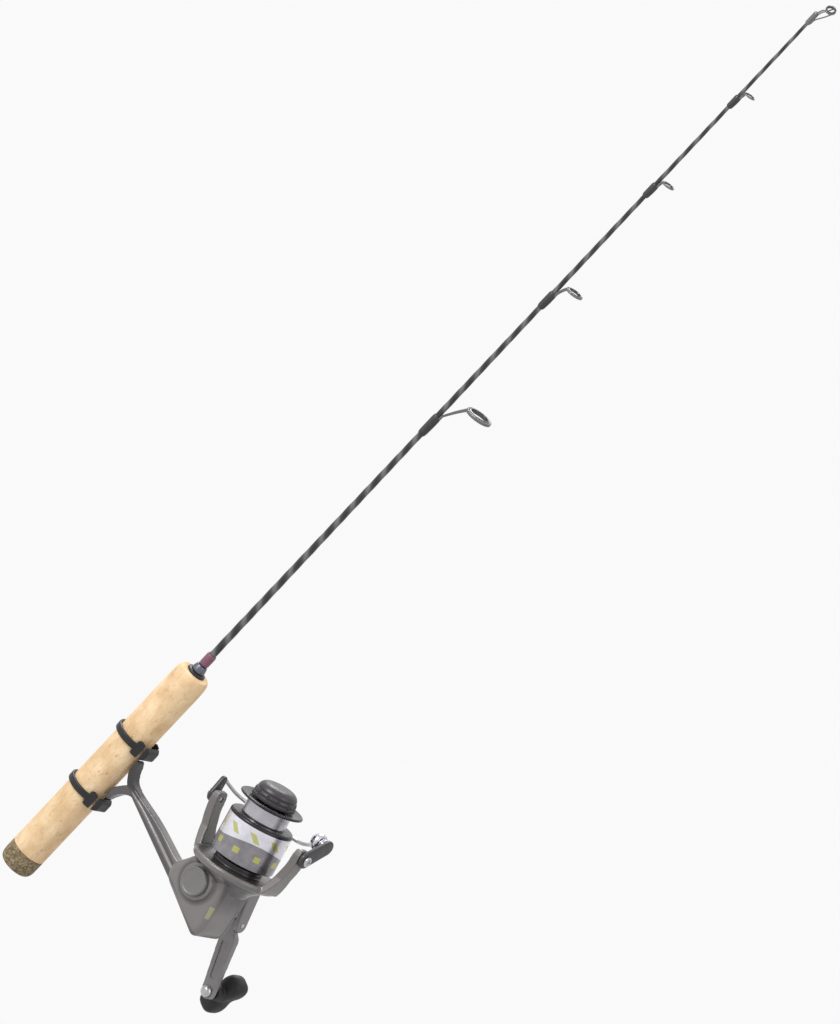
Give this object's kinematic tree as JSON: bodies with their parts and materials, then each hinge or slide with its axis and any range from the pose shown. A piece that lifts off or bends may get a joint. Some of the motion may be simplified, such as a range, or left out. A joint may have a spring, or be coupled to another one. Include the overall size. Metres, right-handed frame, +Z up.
{
  "type": "ice fishing rod",
  "caption": "Short rod with cork handle, wire line guides and a small spinning reel under the handle with folding crank, bail and front drag.",
  "frame": {"origin": "centre of the flat end face of the butt cap", "axes": "+X along the rod from the butt to the tip, +Z up with the reel hanging below, +Y on the crank side"},
  "size_m": [0.7111, 0.0925, 0.1487],
  "materials": {
    "cork": "sanded natural cork",
    "composite_cork": "rubberised cork, fine dark grain",
    "blank": "clear-coated graphite with a spiral of darker tape marks",
    "black_plastic": "satin moulded plastic",
    "soft_black": "soft-touch",
    "dark_plastic": "satin moulded plastic",
    "body_grey": "satin grey moulded composite",
    "rotor_grey": "satin dark grey moulded composite",
    "silver": "turned and anodised",
    "steel": "polished",
    "brass": "machined",
    "thread": "thread wrap under clear epoxy",
    "maroon_thread": "thread wrap under clear epoxy",
    "ceramic": "polished ceramic",
    "felt": "pressed felt",
    "arm_grey": "satin grey lacquer"
  },
  "bodies": {
    "rod_and_body": {"butt_cap": "composite_cork", "cork_grip": "cork", "winding_check": "black_plastic", "trim_ring": "silver", "trim_band": "maroon_thread", "rod_blank": "blank", "guide_1_frame": "black_plastic", "guide_1_insert": "ceramic", "guide_1_wrap": "thread", "guide_2_frame": "black_plastic", "guide_2_insert": "ceramic", "guide_2_wrap": "thread", "guide_3_frame": "black_plastic", "guide_3_insert": "ceramic", "guide_3_wrap": "thread", "guide_4_frame": "black_plastic", "guide_4_insert": "ceramic", "guide_4_wrap": "thread", "tip_top_frame": "steel", "tip_top_insert": "ceramic", "reel_body": "body_grey", "side_cover": "body_grey", "screw_cap": "body_grey", "cover_screw_1": "steel", "cover_screw_2": "steel", "cover_screw_3": "steel", "pinion_bearing": "steel", "one_way_clutch": "steel", "drive_bushing_near": "brass", "drive_bushing_far": "brass", "crosshead_guide": "steel"},
    "rear_ring": {"rear_ring": "black_plastic"},
    "front_ring": {"front_ring": "black_plastic"},
    "crank": {"drive_gear": "brass", "handle_shank": "arm_grey", "fold_pin": "steel"},
    "oscillation_gear": {"oscillation_gear": "brass"},
    "rotor": {"rotor": "rotor_grey", "pinion_gear": "brass", "rotor_nut": "steel", "bail_screw_upper": "steel", "bail_screw_lower": "steel"},
    "bail": {"bail_wire": "steel", "bail_arm": "dark_plastic", "bail_holder": "dark_plastic", "roller_cap": "silver"},
    "line_roller": {"line_roller": "silver"},
    "spool_shaft": {"main_shaft": "steel", "crosshead": "dark_plastic"},
    "spool": {"spool": "silver", "drag_washer_1": "felt", "drag_washer_2": "steel", "drag_washer_3": "felt", "drag_retainer": "steel"},
    "drag_knob": {"drag_knob": "dark_plastic"},
    "crank_arm": {"crank_arm": "arm_grey", "knob_rivet": "steel"},
    "handle_knob": {"handle_knob": "soft_black"}
  },
  "joints": [
    {"name": "rear_ring_slide", "type": "slide", "parent": "rod_and_body", "child": "rear_ring", "axis": [1, 0, 0], "range_m": [-0.04, 0]},
    {"name": "front_ring_slide", "type": "slide", "parent": "rod_and_body", "child": "front_ring", "axis": [1, 0, 0], "range_m": [0, 0.04]},
    {"name": "crank_spin", "type": "hinge", "parent": "rod_and_body", "child": "crank", "pos_m": [0.09058, 0, -0.09937], "axis": [0, 1, 0], "continuous": true},
    {"name": "rotor_spin", "type": "hinge", "parent": "rod_and_body", "child": "rotor", "pos_m": [0.10666, 0, -0.10464], "axis": [0.9613, 0, 0.2756], "continuous": true},
    {"name": "oscillation_spin", "type": "hinge", "parent": "rod_and_body", "child": "oscillation_gear", "pos_m": [0.07992, 0.0065, -0.1068], "axis": [0, 1, 0], "continuous": true},
    {"name": "spool_slide", "type": "slide", "parent": "rod_and_body", "child": "spool_shaft", "axis": [0.9613, 0, 0.2756], "range_m": [-0.0034, 0.0034]},
    {"name": "spool_spin", "type": "hinge", "parent": "spool_shaft", "child": "spool", "pos_m": [0.13646, 0, -0.0961], "axis": [0.9613, 0, 0.2756], "continuous": true},
    {"name": "drag_knob_turn", "type": "hinge", "parent": "spool_shaft", "child": "drag_knob", "pos_m": [0.1528, 0, -0.09141], "axis": [0.9613, 0, 0.2756], "range_deg": [-360, 180]},
    {"name": "bail_flip", "type": "hinge", "parent": "rotor", "child": "bail", "pos_m": [0.13453, 0, -0.09665], "axis": [0.2756, 0, -0.9613], "range_deg": [0, 130]},
    {"name": "line_roller_spin", "type": "hinge", "parent": "bail", "child": "line_roller", "pos_m": [0.15313, 0.0145, -0.12668], "axis": [-0.2756, 0, 0.9613], "continuous": true},
    {"name": "crank_fold", "type": "hinge", "parent": "crank", "child": "crank_arm", "pos_m": [0.07214, 0.039, -0.10712], "axis": [0.3875, 0, -0.9219], "range_deg": [0, 90]},
    {"name": "knob_spin", "type": "hinge", "parent": "crank_arm", "child": "handle_knob", "pos_m": [0.0325, 0.05, -0.12378], "axis": [0, 1, 0], "continuous": true}
  ],
  "couplings": [
    {"joint": "rotor_spin", "follows": "crank_spin", "ratio": 5},
    {"joint": "oscillation_spin", "follows": "crank_spin", "ratio": -0.83333}
  ]
}
